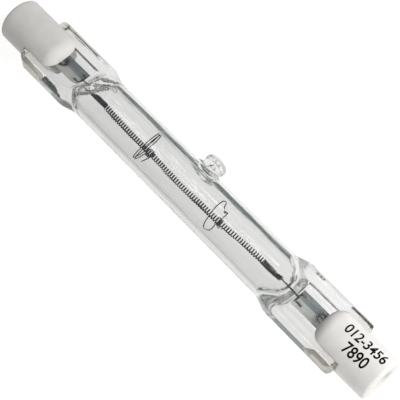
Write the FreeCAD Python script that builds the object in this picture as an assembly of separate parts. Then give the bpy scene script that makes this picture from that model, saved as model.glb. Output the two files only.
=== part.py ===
"""Double-ended linear halogen lamp with a 78 mm body and recessed contacts.

The lamp is drawn about its own axis. X runs along the tube, Y is the width of the two flat
pinches, with the exhaust tip on the +Y side, and Z is the thickness of the pinches. Left is
the -X end and right the +X end. At the end the lamp is rolled about X until its tube and its
exhaust tip touch the table, and its lowest point is set at Z = 0. All sizes are millimetres.
"""
import FreeCAD, Part
import math
import os

from FreeCAD import Vector

# Overall
overall_length = 78.3
contact_depth = 1.7
# The tube and all that it holds sit a little to the left between the two caps
tube_shift = -0.5

# Quartz tube and its sealed cavity
tube_diameter = 8.06
tube_wall = 1.0
shoulder_length = 4.0
cavity_end_reach = 1.9

# Flat pinch at each end of the tube, with a thin web between two thicker rails
pinch_end_depth = 5.65
pinch_length = 10.2
pinch_width = 9.43
rail_width = 1.75
rail_thickness = 3.3
rail_rounding = 0.7
rail_end_radius = 1.3
rail_flare_length = 4.6
rail_flare_sink = 1.1
web_thickness = 2.0
web_bevel = 0.3
shoulder_sink = 0.4
shoulder_inset = 0.3

# Fused exhaust tip on the middle of the tube
tip_offset = 0.3
tip_reach = 6.24
tip_diameter = 3.8
tip_rounding = 0.9
tip_neck_diameter = 3.6
tip_foot_diameter = 5.0
tip_foot_shift = 1.25
tip_foot_sink = 0.2
tip_bore_diameter = 2.0
tip_bore_reach = 5.0
tip_bore_end_diameter = 0.5

# Tungsten filament, wound openly between its two close-wound ends
strand_diameter = 0.2
coil_diameter = 0.9
coil_end_gap = 0.25
coil_shift = -0.8
open_turns = 77
close_turns = 11
close_pitch = 0.29
strand_sides = 4
turn_segments = 6

# Sag of the filament between its ends and supports, as distance from the axis along Y
sag_left_end = 0.18
sag_left_support = 0.46
sag_lowest = 0.58
sag_lowest_place = -1.5
sag_right_support = 0.4
rise_highest = 0.13
rise_highest_place = 15.6
rise_right_end = 0.07

# Tungsten supports that carry the filament inside the tube
support_wire_diameter = 0.18
support_loop_gap = 0.38
support_clearance = 0.02
support_wrap_pitch = 0.3
left_support_place = -7.9
left_wrap_turns = 3
left_loop_turns = 2
left_loop_pitch = 0.35
left_loop_lean = 0.28
left_hook_gap = 0.73
right_support_place = 7.1
right_wrap_turns = 2.5
right_loop_kink = 0.66
right_hook_reach = 1.1
support_sides = 4
loop_segments = 14
wrap_segments = 8

# Lead wires and sealing foils
wire_sides = 6
inner_lead_diameter = 0.3
inner_lead_grip = 2.4
staple_width = 1.45
staple_place = 0.25
staple_short_prong = 0.8
staple_long_prong = 1.3
foil_width = 2.8
foil_length = 7.4
foil_thickness = 0.04
foil_set_back = 0.2
outer_lead_diameter = 0.4
outer_hook_radius = 0.62
outer_hook_place = 4.7
outer_hook_run = 0.9
outer_hook_segments = 6

# Ceramic caps, their cement and their contacts
cap_diameter = 7.3
cap_length = 11.25
cap_slot_clearance = 0.1
cap_nose_radius = 2.0
cap_edge_chamfer = 0.5
cement_length = 4.1
cement_width = 5.0
cement_bed = 0.3
recess_diameter = 3.6
contact_diameter = 3.1
contact_clearance = 0.05
contact_thickness = 1.0
contact_edge_chamfer = 0.15
contact_stem_diameter = 1.2
contact_stem_length = 1.9

# Sizes that follow from the ones above
tube_radius = tube_diameter / 2
bore_radius = tube_radius - tube_wall
lamp_end = overall_length / 2
pinch_end = lamp_end - pinch_end_depth
shoulder_end = pinch_end - pinch_length
tube_end = shoulder_end - shoulder_length
cavity_end = tube_end + cavity_end_reach
pinch_half_width = pinch_width / 2
rail_half_thickness = rail_thickness / 2
web_half_thickness = web_thickness / 2
web_half_width = pinch_half_width - rail_width
cap_radius = cap_diameter / 2
cap_start = lamp_end - cap_length
slot_half_width = rail_half_thickness + cap_slot_clearance
slot_bottom = pinch_end + cement_bed
contact_face = lamp_end - contact_depth
contact_back = contact_face - contact_thickness
stem_end = contact_back - contact_stem_length
strand_radius = strand_diameter / 2
coil_radius = coil_diameter / 2 - strand_radius
coil_half_length = cavity_end - coil_end_gap - abs(coil_shift)
open_pitch = 2 * (coil_half_length - close_turns * close_pitch) / open_turns
coil_left_end = coil_shift - coil_half_length
coil_right_end = coil_shift + coil_half_length
support_loop_radius = bore_radius - support_loop_gap - support_wire_diameter / 2
left_hook_reach = bore_radius - left_hook_gap
foil_start = shoulder_end - foil_set_back
inner_lead_radius = inner_lead_diameter / 2
outer_lead_radius = outer_lead_diameter / 2
flat_share = math.cos(math.pi / wire_sides)
foil_top = -inner_lead_radius * flat_share
outer_lead_height = foil_top + outer_lead_radius * flat_share
# A faceted strand of the same area as a round one reaches a little further out
strand_corner = strand_radius * math.sqrt(2 * math.pi / strand_sides / math.sin(2 * math.pi / strand_sides))
coil_reach = coil_radius + strand_corner / math.cos(math.pi / turn_segments)
filament_line = [
    (coil_left_end, -sag_left_end),
    (left_support_place, -sag_left_support),
    (sag_lowest_place, -sag_lowest),
    (right_support_place, -sag_right_support),
    (rise_highest_place, rise_highest),
    (coil_right_end, rise_right_end),
]

along = Vector(1, 0, 0)
across = Vector(0, 1, 0)
upward = Vector(0, 0, 1)


# General helpers

def box(x_range, y_range, z_range):
    corner = Vector(x_range[0], y_range[0], z_range[0])
    size = [pair[1] - pair[0] for pair in (x_range, y_range, z_range)]
    return Part.makeBox(*size, corner)


def rod(radius, x_start, x_end):
    return Part.makeCylinder(radius, x_end - x_start, Vector(x_start, 0, 0), along)


def on_side(shape, side):
    """A shape drawn for the right end, mirrored where the left end is asked for."""
    return shape if side > 0 else shape.mirror(Vector(), along)


def turned(profile, axis):
    """The closed profile of points, spun about an axis through the origin."""
    return Part.Face(Part.makePolygon(profile + profile[:1])).revolve(Vector(), axis, 360)


def rounded(middle, radius, start_angle, end_angle, steps):
    """Points along an arc in the XY plane, for a rounding made of narrow cones."""
    points = []
    for step in range(steps + 1):
        angle = math.radians(start_angle + (end_angle - start_angle) * step / steps)
        points.append(middle + Vector(radius * math.cos(angle), radius * math.sin(angle), 0))
    return points


def edges_along_x(shape, y, z):
    """Edges parallel to X at the given distances from the two middle planes."""
    found = []
    for edge in shape.Edges:
        ends = [vertex.Point for vertex in edge.Vertexes]
        middle = edge.CenterOfMass
        is_level = len(ends) == 2 and (ends[1] - ends[0]).cross(along).Length < 1e-6
        if is_level and abs(abs(middle.y) - y) < 1e-4 and abs(abs(middle.z) - z) < 1e-4:
            found.append(edge)
    return found


def bent_wire(points, radius, sides):
    """A wire of polygonal section through the points, mitred at each of them.

    The first section has flats facing up and down, and a level path keeps them so."""
    runs = [(b - a).normalize() for a, b in zip(points, points[1:])]
    sideways = runs[0].cross(upward)
    if sideways.Length < 1e-6:
        sideways = across
    sideways = Vector(sideways).normalize()
    top = sideways.cross(runs[0])
    ring = []
    for corner in range(sides):
        angle = math.pi / 2 + 2 * math.pi * (corner + 0.5) / sides
        spoke = sideways * math.cos(angle) + top * math.sin(angle)
        ring.append(points[0] + spoke * radius)
    rings = [ring]
    for index in range(1, len(points)):
        run = runs[index - 1]
        mitre = run + runs[min(index, len(runs) - 1)]
        ring = [p + run * ((points[index] - p).dot(mitre) / run.dot(mitre)) for p in ring]
        rings.append(ring)
    faces = [Part.Face(Part.makePolygon(end + end[:1])) for end in (rings[0], rings[-1])]
    for near, far in zip(rings, rings[1:]):
        for k in range(sides):
            n = (k + 1) % sides
            faces.append(Part.Face(Part.makePolygon([near[k], near[n], far[n], far[k], near[k]])))
    shell = Part.makeShell(faces)
    shell.sewShape()
    solid = Part.Solid(shell)
    if solid.Volume < 0:
        solid.reverse()
    return solid


def smooth_path(points, count):
    """Evenly spaced points along a smooth curve through the given ones."""
    curve = Part.BSplineCurve()
    curve.interpolate(points)
    return curve.toShape().discretize(Number=count)


def filament_offset(x):
    """Distance of the filament's centre from the lamp's axis, along Y."""
    for (x_start, y_start), (x_end, y_end) in zip(filament_line, filament_line[1:]):
        if x <= x_end:
            break
    share = min(max((x - x_start) / (x_end - x_start), 0.0), 1.0)
    return y_start + (y_end - y_start) * (1 - math.cos(math.pi * share)) / 2


# Quartz envelope

def ellipse_section(x, half_width, half_height):
    """An ellipse across the lamp, drawn level and then stood up with its long axis along Y."""
    ellipse = Part.Ellipse(Vector(), half_width, half_height).toShape()
    ellipse.rotate(Vector(), Vector(1, 1, 1), 120)
    ellipse.translate(Vector(x, 0, 0))
    return Part.Wire(ellipse)


def shoulder():
    """The tube's end, pressed down from its round section until it runs into the web."""
    last_width = pinch_half_width - shoulder_inset
    last_height = web_half_thickness - shoulder_sink
    sections = []
    steps = 5
    for step in range(steps + 1):
        share = step / steps
        fall = 1 - math.cos(math.pi / 2 * share)
        half_width = tube_radius + (last_width - tube_radius) * share
        half_height = tube_radius + (last_height - tube_radius) * fall
        x = tube_end + shoulder_length * share
        sections.append(ellipse_section(x, half_width, half_height))
    return Part.makeLoft(sections, True, True)


def pinch_plan(end):
    """Outline of a pinch seen from above: it flares out of the tube and has rounded far corners."""
    start = shoulder_end - rail_flare_length
    sunk = pinch_half_width - rail_flare_sink
    flare = []
    steps = 5
    for step in range(steps + 1):
        share = step / steps
        rise = (1 - math.cos(math.pi * share)) / 2
        width = sunk + (pinch_half_width - sunk) * rise
        flare.append(Vector(start + rail_flare_length * share, width, 0))
    curve = Part.BSplineCurve()
    curve.interpolate(flare, InitialTangent=along, FinalTangent=along)
    bend = rail_end_radius * (1 - math.sqrt(0.5))
    corner = Part.Arc(
        Vector(end - rail_end_radius, pinch_half_width, 0),
        Vector(end - bend, pinch_half_width - bend, 0),
        Vector(end, pinch_half_width - rail_end_radius, 0),
    )
    upper = [
        curve.toShape(),
        Part.makeLine(flare[-1], Vector(end - rail_end_radius, pinch_half_width, 0)),
        corner.toShape(),
    ]
    lower = [edge.mirror(Vector(), across) for edge in upper]
    far_edge = Part.makeLine(
        Vector(end, pinch_half_width - rail_end_radius, 0),
        Vector(end, rail_end_radius - pinch_half_width, 0),
    )
    near_edge = Part.makeLine(Vector(start, sunk, 0), Vector(start, -sunk, 0))
    edges = Part.__sortEdges__(upper + lower + [far_edge, near_edge])
    return Part.Face(Part.Wire(edges))


def pinch(end):
    """The pressed end: a thin web between two rounded rails."""
    start = shoulder_end - rail_flare_length
    length = (start, end)
    bar = box(length, (-pinch_half_width, pinch_half_width), (-rail_half_thickness, rail_half_thickness))
    for low, high in ((web_half_thickness, tube_radius), (-tube_radius, -web_half_thickness)):
        bar = bar.cut(box(length, (-web_half_width, web_half_width), (low, high)))
    bar = bar.makeFillet(rail_rounding, edges_along_x(bar, pinch_half_width, rail_half_thickness))
    bar = bar.makeChamfer(web_bevel, edges_along_x(bar, web_half_width, rail_half_thickness))
    bar = bar.makeChamfer(web_bevel, edges_along_x(bar, web_half_width, web_half_thickness))
    plan = pinch_plan(end).extrude(upward * rail_thickness)
    plan.translate(upward * -rail_half_thickness)
    return bar.common(plan)


def exhaust_tip():
    """The melted stub of the pumping tube, turned about Y, with the foot it flows into."""
    neck = tip_neck_diameter / 2
    rim_centre = tip_diameter / 2 - tip_rounding
    rim_height = tip_reach - tip_rounding
    root = bore_radius + tube_wall / 2
    under = math.acos((neck - rim_centre) / tip_rounding)
    neck_height = rim_height - tip_rounding * math.sin(under)
    rim = rounded(Vector(rim_centre, rim_height, 0), tip_rounding, -math.degrees(under), 90, 4)
    stub = turned([Vector(0, root, 0), Vector(neck, root, 0)] + rim + [Vector(0, tip_reach, 0)], across)
    foot_top = neck - tip_foot_sink
    foot_rings = []
    steps = 3
    for step in range(steps + 1):
        share = step / steps
        ease = (1 - share) ** 2
        radius = foot_top + (tip_foot_diameter / 2 - foot_top) * ease
        place = Vector(-tip_foot_shift * ease, root + (neck_height - root) * share, 0)
        foot_rings.append(Part.Wire(Part.makeCircle(radius, place, across)))
    foot = Part.makeLoft(foot_rings, True, True)
    tip = stub.fuse(foot)
    tip.translate(Vector(tip_offset, 0, 0))
    return tip


def tip_bore():
    """The closed end of the pumping hole, open to the cavity."""
    root = bore_radius - tube_wall / 2
    return Part.makeCone(
        tip_bore_diameter / 2, tip_bore_end_diameter / 2, tip_bore_reach - root,
        Vector(tip_offset, root, 0), across)


def cavity():
    """The gas space: the tube's bore with a round dome at each end."""
    straight = cavity_end - bore_radius
    right_dome = rounded(Vector(straight, 0, 0), bore_radius, 0, 90, 3)
    left_dome = rounded(Vector(-straight, 0, 0), bore_radius, 90, 180, 3)
    return turned(right_dome + left_dome, along).fuse(tip_bore())


def quartz_envelope(sealed_pieces):
    """Tube, shoulders, pinches and tip in one piece, closed round the pieces sealed in it."""
    body = rod(tube_radius, -tube_end, tube_end)
    for side in (1, -1):
        far_pinch = pinch(pinch_end - side * tube_shift)
        body = body.fuse([on_side(shoulder(), side), on_side(far_pinch, side)])
    body = body.fuse(exhaust_tip())
    body = body.cut(cavity())
    for piece in sealed_pieces:
        body = body.cut(piece)
    return body.removeSplitter()


# Filament and its supports

def filament():
    """One strand wound as a sagging coil, with its turns close together at both ends."""
    windings = [(close_turns, close_pitch), (open_turns, open_pitch), (close_turns, close_pitch)]
    x = coil_left_end
    corner = 0
    points = []
    for turns, pitch in windings:
        for _ in range(turns * turn_segments):
            points.append(coil_point(x, corner))
            x += pitch / turn_segments
            corner += 1
    points.append(coil_point(x, corner))
    return bent_wire(points, strand_corner, strand_sides)


def coil_point(x, corner):
    angle = 2 * math.pi * corner / turn_segments
    return Vector(x, filament_offset(x) + coil_radius * math.cos(angle), coil_radius * math.sin(angle))


def wrap_points(x_start, start_angle, turns, pitch):
    """Tight turns of support wire round the coil."""
    radius = coil_reach + support_wire_diameter / 2 + support_clearance
    radius = radius / math.cos(math.pi / wrap_segments)
    points = []
    for step in range(round(turns * wrap_segments) + 1):
        angle = start_angle + 2 * math.pi * step / wrap_segments
        x = x_start + pitch * step / wrap_segments
        middle = filament_offset(x)
        points.append(Vector(x, middle + radius * math.cos(angle), radius * math.sin(angle)))
    return points


def left_filament_support():
    """A straight hook, turns round the coil and two leaning loops inside the tube."""
    wraps = wrap_points(left_support_place, math.pi, left_wrap_turns, support_wrap_pitch)
    wraps.reverse()
    hook = wraps[0] - along * support_wrap_pitch
    hook.y = -left_hook_reach
    loops = []
    for step in range(left_loop_turns * loop_segments + 1):
        angle = -math.pi / 2 - 2 * math.pi * step / loop_segments
        x = left_support_place - left_loop_pitch * (1 + step / loop_segments)
        y = support_loop_radius * math.cos(angle)
        z = support_loop_radius * math.sin(angle)
        loops.append(Vector(x + left_loop_lean * z, y, z))
    return bent_wire([hook] + wraps + loops, support_wire_diameter / 2, support_sides)


def right_filament_support():
    """A short hook, turns round the coil and one loop that is kinked in beside its top."""
    wraps = wrap_points(right_support_place, 0, right_wrap_turns, support_wrap_pitch)
    wraps.reverse()
    hook = wraps[0] + along * support_wrap_pitch
    hook.y = -right_hook_reach
    kink = right_loop_kink
    # Place along the lamp from the first turn, then Y and Z as shares of the loop's radius
    bends = [
        (-0.1, 0.2, -0.35), (-0.23, kink + 0.07, -0.48), (-0.6, kink, -0.34), (-0.85, kink + 0.03, -0.03),
        (-0.85, 0.8, 0.43), (-0.95, 0.6, 0.78), (-0.93, 0.2, 0.97), (-0.79, -0.24, 0.96),
        (-0.62, -0.6, 0.79), (-0.57, -0.89, 0.43), (-0.55, -0.98, -0.16), (-0.4, -0.87, -0.48),
        (-0.25, -0.7, -0.7), (-0.32, -0.46, -0.87), (-0.42, -0.2, -0.75),
    ]
    corners = [
        Vector(right_support_place + x, y * support_loop_radius, z * support_loop_radius)
        for x, y, z in bends
    ]
    loop = smooth_path(corners, loop_segments + 6)
    return bent_wire([hook] + wraps + loop, support_wire_diameter / 2, support_sides)


# Seals: foils and lead wires

def foil(side):
    sheet = box(
        (foil_start, foil_start + foil_length), (-foil_width / 2, foil_width / 2),
        (foil_top - foil_thickness, foil_top))
    return on_side(sheet, side)


def inner_lead(side):
    """The wire that grips the coil's end and ends in a staple welded to the foil."""
    coil_end = coil_half_length + side * coil_shift
    grip = coil_end - inner_lead_grip
    bar = foil_start + staple_place
    half = staple_width / 2
    straight = [
        Vector(grip, filament_offset(side * grip), 0),
        Vector(coil_end, filament_offset(side * coil_end), 0),
        Vector(foil_start - staple_place, 0, 0),
        Vector(bar, 0, 0),
    ]
    staple = [
        Vector(bar + staple_short_prong, half, 0),
        Vector(bar, half, 0),
        Vector(bar, -half, 0),
        Vector(bar + staple_long_prong, -half, 0),
    ]
    wire = bent_wire(straight, inner_lead_radius, wire_sides)
    wire = wire.fuse(bent_wire(staple, inner_lead_radius, wire_sides))
    return on_side(wire.removeSplitter(), side)


def outer_lead(side):
    """The thicker wire from a hook on the foil to the contact in the cap."""
    hook_end = foil_start + outer_hook_place
    points = []
    for step in range(outer_hook_segments + 1):
        angle = -math.pi / 2 - math.pi * step / outer_hook_segments
        points.append(Vector(
            hook_end + outer_hook_radius * math.cos(angle), outer_hook_radius * math.sin(angle),
            outer_lead_height))
    points.insert(0, points[0] + along * outer_hook_run)
    points.append(Vector(hook_end + outer_hook_run, 0, outer_lead_height))
    points.append(Vector(foil_start + foil_length, 0, outer_lead_height))
    points.append(Vector(pinch_end - side * tube_shift, 0, 0))
    points.append(Vector(stem_end - side * tube_shift, 0, 0))
    return on_side(bent_wire(points, outer_lead_radius, wire_sides), side)


# Ceramic caps, cement and contacts

def ceramic_cap(side):
    """A turned ceramic with two cheeks over the pinch and a recess in front of the contact."""
    channel = contact_stem_diameter / 2 + contact_clearance
    seat = contact_diameter / 2 + contact_clearance
    recess = recess_diameter / 2
    nose_middle = Vector(cap_start + cap_nose_radius, cap_radius - cap_nose_radius, 0)
    profile = [Vector(slot_bottom, 0, 0), Vector(cap_start, 0, 0)]
    profile += rounded(nose_middle, cap_nose_radius, 180, 90, 4)
    profile += [
        Vector(lamp_end - cap_edge_chamfer, cap_radius, 0),
        Vector(lamp_end, cap_radius - cap_edge_chamfer, 0),
        Vector(lamp_end, recess, 0),
        Vector(contact_face, recess, 0),
        Vector(contact_face, seat, 0),
        Vector(contact_back, seat, 0),
        Vector(contact_back, channel, 0),
        Vector(slot_bottom, channel, 0),
    ]
    slot = box((cap_start, slot_bottom), (-cap_radius, cap_radius), (-slot_half_width, slot_half_width))
    return on_side(turned(profile, along).cut(slot), side)


def cement(side, envelope, sealed_pieces):
    """The white cement between the web and the two cheeks, and behind the pinch's end."""
    block = box(
        (slot_bottom - cement_length, slot_bottom), (-cement_width / 2, cement_width / 2),
        (-slot_half_width, slot_half_width))
    return on_side(block, side).cut([envelope] + sealed_pieces)


def contact(side):
    """A button level with the bottom of the recess, with a stem welded to the outer lead."""
    head = contact_diameter / 2
    stem = contact_stem_diameter / 2
    profile = [
        Vector(stem_end, 0, 0),
        Vector(stem_end, stem, 0),
        Vector(contact_back, stem, 0),
        Vector(contact_back, head, 0),
        Vector(contact_face - contact_edge_chamfer, head, 0),
        Vector(contact_face, head - contact_edge_chamfer, 0),
        Vector(contact_face, 0, 0),
    ]
    return on_side(turned(profile, along), side)


# Assembly

def rest_roll():
    """Angle about X at which the tube and the rim of the exhaust tip both touch the table."""
    rim_centre = tip_diameter / 2 - tip_rounding
    rim_height = tip_reach - tip_rounding
    reach = math.hypot(rim_centre, rim_height)
    return math.asin((tube_radius - tip_rounding) / reach) - math.atan2(rim_centre, rim_height)


def lamp():
    """Every piece by name, about the lamp's own axis."""
    leads = {}
    for name, side in (("left", -1), ("right", 1)):
        leads[name + "_foil"] = foil(side)
        leads[name + "_inner_lead"] = inner_lead(side)
        leads[name + "_outer_lead"] = outer_lead(side)
    pieces = {"quartz_envelope": quartz_envelope(leads.values())}
    pieces["filament"] = filament()
    pieces["left_filament_support"] = left_filament_support()
    pieces["right_filament_support"] = right_filament_support()
    pieces.update(leads)
    pieces = {name: piece.translated(along * tube_shift) for name, piece in pieces.items()}
    for name, side in (("left", -1), ("right", 1)):
        pieces[name + "_ceramic_cap"] = ceramic_cap(side)
        sealed = [pieces[name + "_foil"], pieces[name + "_outer_lead"]]
        pieces[name + "_cement"] = cement(side, pieces["quartz_envelope"], sealed)
        pieces[name + "_contact"] = contact(side)
    return pieces


def lying(pieces):
    """The pieces rolled onto tube and tip, centred over the origin and standing on Z = 0."""
    rolled = {}
    for name, shape in pieces.items():
        rolled[name] = shape.rotated(Vector(), along, -math.degrees(rest_roll()))
    bounds = rolled["quartz_envelope"].optimalBoundingBox(False)
    shift = Vector(0, -(bounds.YMin + bounds.YMax) / 2, tube_radius)
    return {name: shape.translated(shift) for name, shape in rolled.items()}


os.makedirs("parts", exist_ok=True)
for piece_name, piece_shape in lying(lamp()).items():
    piece_shape.exportStep("parts/" + piece_name + ".step")
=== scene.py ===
import bmesh
import bpy
import math
from mathutils import Matrix, Vector


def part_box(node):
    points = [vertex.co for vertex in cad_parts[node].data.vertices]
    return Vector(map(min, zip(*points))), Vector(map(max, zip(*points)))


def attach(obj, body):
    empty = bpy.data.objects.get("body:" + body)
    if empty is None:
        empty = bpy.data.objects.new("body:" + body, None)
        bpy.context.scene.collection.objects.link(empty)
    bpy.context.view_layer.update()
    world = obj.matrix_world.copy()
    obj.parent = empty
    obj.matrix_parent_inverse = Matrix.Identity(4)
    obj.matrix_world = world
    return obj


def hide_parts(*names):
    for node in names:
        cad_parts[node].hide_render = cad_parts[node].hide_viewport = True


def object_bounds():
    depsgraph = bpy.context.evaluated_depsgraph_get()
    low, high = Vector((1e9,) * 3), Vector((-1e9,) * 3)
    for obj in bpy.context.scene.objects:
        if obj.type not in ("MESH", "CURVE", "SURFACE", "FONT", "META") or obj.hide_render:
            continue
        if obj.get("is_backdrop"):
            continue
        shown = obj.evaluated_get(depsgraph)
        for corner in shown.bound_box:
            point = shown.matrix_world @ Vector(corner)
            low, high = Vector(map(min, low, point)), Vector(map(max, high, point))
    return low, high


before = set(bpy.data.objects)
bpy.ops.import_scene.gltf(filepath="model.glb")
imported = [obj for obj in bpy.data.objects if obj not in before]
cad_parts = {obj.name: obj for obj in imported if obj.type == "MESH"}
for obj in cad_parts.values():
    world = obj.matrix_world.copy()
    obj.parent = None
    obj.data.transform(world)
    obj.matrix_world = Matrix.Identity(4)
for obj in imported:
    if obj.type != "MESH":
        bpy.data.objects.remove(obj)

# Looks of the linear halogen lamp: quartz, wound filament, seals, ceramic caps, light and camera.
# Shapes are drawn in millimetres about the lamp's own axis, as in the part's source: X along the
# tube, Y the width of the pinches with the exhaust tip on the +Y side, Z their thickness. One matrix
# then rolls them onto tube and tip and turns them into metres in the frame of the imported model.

size = {"cad": [list(corner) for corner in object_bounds()]}

# The tube and all that it holds sit a little to the left between the two caps
tube_shift = -0.5

# Quartz tube, shoulders and cavity
tube_radius = 4.03
bore_radius = 3.03
tube_end = 19.3
shoulder_end = 23.3
cavity_end = 21.2
flare_start = 18.3
flare_end = 21.6

# The left shoulder leans: its lower side, and that of the cavity's end, lie farther out
left_shoulder_lean = 2.0
left_cavity_lean = 2.7
cavity_lean_start = 14
cavity_lean_run = 4

# Pinches: half sizes of the section with its two rails
pinch_end = 33.5
pinch_half_width = 4.715
rail_half_thickness = 1.65
rail_rounding = 0.75
rail_crest = 3.85
web_edge = 2.3
web_half_thickness = 1.1
pinch_corner_radius = 1.3
pinch_edge_rounding = 0.5

# Flat channel of air in the left lower rail
rail_channel_ends = (-28.0, -22.9)
rail_channel_place = -4.0
rail_channel_rise = 0.1
rail_channel_half_width = 0.5
rail_channel_half_thickness = 0.1
rail_channel_taper = 0.3
rail_channel_tilt = -32

# Exhaust tip
tip_offset = 0.3
tip_reach = 6.24
tip_radius = 1.9
tip_rounding = 0.9
tip_neck_radius = 1.68
tip_foot_left = 3.4
tip_foot_right = 2.3
tip_foot_width = 2.2
tip_foot_sink = 0.03
tip_foot_root = 0.45
tip_foot_pull = 1.6
tip_neck_pull = 1.4
tip_bore_radius = 1.0
tip_bore_end_radius = 0.25
tip_bore_reach = 5.0
tip_bore_root = 0.5

# Filament: centre line as places along the tube and offsets across it
strand_radius = 0.1
coil_radius = 0.35
open_pitch = 0.4405
close_pitch = 0.245
close_length = 3.19
coil_left_end = -20.95
coil_right_end = 19.35
filament_line = [(coil_left_end, -0.18), (-7.9, -0.46), (-1.5, -0.58), (7.1, -0.4), (15.6, 0.13),
                 (coil_right_end, 0.07)]

# Filament supports
support_wire_radius = 0.075
support_bend_radius = 0.3
support_loop_radius = 2.56
support_wrap_radius = 0.62
support_wrap_pitch = 0.3
left_support_place = -7.9
left_wrap_turns = 3
left_loop_turns = 2
left_loop_pitch = 0.35
left_loop_lean = 0.28
left_hook_reach = 2.3
right_support_place = 7.1
right_wrap_turns = 2.5
right_hook_reach = 1.1
# Place along the lamp from the first turn, then Y and Z as shares of the loop's radius
right_loop_bends = [
    (-0.1, 0.2, -0.35), (-0.23, 0.73, -0.48), (-0.6, 0.66, -0.34), (-0.85, 0.69, -0.03),
    (-0.85, 0.8, 0.43), (-0.95, 0.6, 0.78), (-0.93, 0.2, 0.97), (-0.79, -0.24, 0.96),
    (-0.62, -0.6, 0.79), (-0.57, -0.89, 0.43), (-0.55, -0.98, -0.16), (-0.4, -0.87, -0.48),
    (-0.25, -0.7, -0.7), (-0.32, -0.46, -0.87), (-0.42, -0.2, -0.75),
]

# Seals
inner_lead_radius = 0.15
inner_lead_grip = 2.4
inner_lead_bend_radius = 0.4
staple_half_width = 0.725
staple_place = 0.25
staple_bend_radius = 0.25
staple_prongs = (0.8, 1.3)
foil_start = 23.1
foil_length = 7.4
foil_half_width = 1.4
foil_thickness = 0.04
foil_middle = -0.15
foil_fold_rise = 0.08
painted_shade_blend_width = 0.2
foil_feathering = 0.7
# Height of each ripple, then its turns along and across the foil
foil_ripples = [(0.02, 1.7, 3), (0.015, 4.1, -2)]
outer_lead_radius = 0.2
outer_lead_bend_radius = 0.15
outer_hook_radius = 0.62
outer_hook_place = 4.7
outer_hook_run = 0.9

# Caps and contacts
cap_radius = 3.65
cap_length = 11.25
slot_half_width = 1.75
slot_bottom = 33.8
cap_nose_radius = 2.0
cap_nose_flat = 0.8
cap_edge_rounding = 0.5
cap_slot_bevel = 0.12
cap_floor = 0.4
recess_radius = 1.8
recess_rounding = 0.2
contact_depth = 1.7
contact_thickness = 1.0
contact_radius = 1.55
contact_clearance = 0.05
contact_edge_rounding = 0.2
# Shallow dish in the contact's face: share of its radius, then depth
contact_dish = [(0.6, 0.0), (0.45, 0.08), (0.0, 0.1)]
contact_stem_radius = 0.6
contact_stem_length = 1.9

# Print on the right cap: plain numbers, each with its length, height, place along the lamp and
# angle round the cap
print_rows = [("012-3456", 7.1, 1.75, 34.6, 18.0), ("7890", 4.0, 1.8, 34.75, -18.5)]
print_rise = 0.045
print_lift = 0.012
print_boldness = 0.018
print_cut_spacing = 0.1

# Angles in degrees above which an edge of a piece stays sharp
sharp_edge = 35
sharp_edge_of_glass = 30
sharp_edge_of_wire = 60

# Where the lamp lies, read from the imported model
contact_low, contact_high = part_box("right_contact")
axis_place = (contact_low + contact_high) / 2
metres = 0.001
lamp_end = size["cad"][1][0] / metres

# Light
ambient_level = 0.3
key_place = (0.13, 0.12, 0.11)
key_target = (0.02, 0, 0)
key_width = 0.1
key_power = 0.34
fill_place = (0.08, -0.1, 0.04)
fill_target = (0.03, 0, 0)
fill_width = 0.08
fill_power = 0.055

# What glass and metal see: shares of a direction between which one tone turns to the next
white_from = (0.45, 0.8)
tip_side_from = (0.3, 0.5)
mirrored_level = 0.45
window_direction = (-0.36, 0.47, 0.8)
window_from = (0.92, 0.965)
window_level = 5.5
stroke_scale = (36, 13, 13)
stroke_from = (0.46, 0.58)

# White table, and the painted light and shade it shows where it is seen through the glass
table_half_width = 2.0
table_glow = 0.68
painted_light_from = (-0.035, 0.035)
painted_shade_from = (-0.003, 0.002)
painted_shade_level = 0.86

# Where the glass turns warmer towards the caps
warmer_glass_from = (28.0, 31.0)


def rest_roll():
    """Angle at which tube and tip both touch the table."""
    rim_centre = tip_radius - tip_rounding
    rim_height = tip_reach - tip_rounding
    reach = math.hypot(rim_centre, rim_height)
    return math.asin((tube_radius - tip_rounding) / reach) - math.atan2(rim_centre, rim_height)


roll = rest_roll()
to_row = (Matrix.Translation((0, axis_place.y, axis_place.z)) @ Matrix.Rotation(-roll, 4, "X")
          @ Matrix.Diagonal((metres, metres, metres, 1)))


# Mesh helpers

def ease(share):
    share = min(max(share, 0.0), 1.0)
    return share * share * (3 - 2 * share)


def blend(a, b, share):
    return a + (b - a) * share


def new_object(name, vertices, faces):
    mesh = bpy.data.meshes.new(name)
    mesh.from_pydata([tuple(v) for v in vertices], [], faces)
    mesh.validate()
    obj = bpy.data.objects.new(name, mesh)
    bpy.context.scene.collection.objects.link(obj)
    return obj


def ring_faces(rings, around):
    """Quads between rings of equal size, and a flat face at each end; around is the points in a ring."""
    faces = []
    for ring in range(rings - 1):
        here = ring * around
        beyond = here + around
        for k in range(around):
            n = (k + 1) % around
            faces.append((here + k, here + n, beyond + n, beyond + k))
    faces.append(tuple(reversed(range(around))))
    faces.append(tuple(range((rings - 1) * around, rings * around)))
    return faces


def turned(name, profile, segments=96):
    """A closed profile of (x, radius) points spun about X; points on the axis become one vertex."""
    on_axis = 1e-6
    vertices = []
    rows = []
    for x, radius in profile:
        if radius < on_axis:
            rows.append([len(vertices)] * segments)
            vertices.append((x, 0, 0))
            continue
        rows.append(list(range(len(vertices), len(vertices) + segments)))
        for k in range(segments):
            angle = 2 * math.pi * k / segments
            vertices.append((x, radius * math.cos(angle), radius * math.sin(angle)))
    faces = []
    for row, following in zip(rows, rows[1:] + rows[:1]):
        for k in range(segments):
            n = (k + 1) % segments
            corners = [row[k], row[n], following[n], following[k]]
            face = [v for i, v in enumerate(corners) if v not in corners[:i]]
            if len(face) > 2:
                faces.append(face)
    return outward(new_object(name, vertices, faces))


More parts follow.
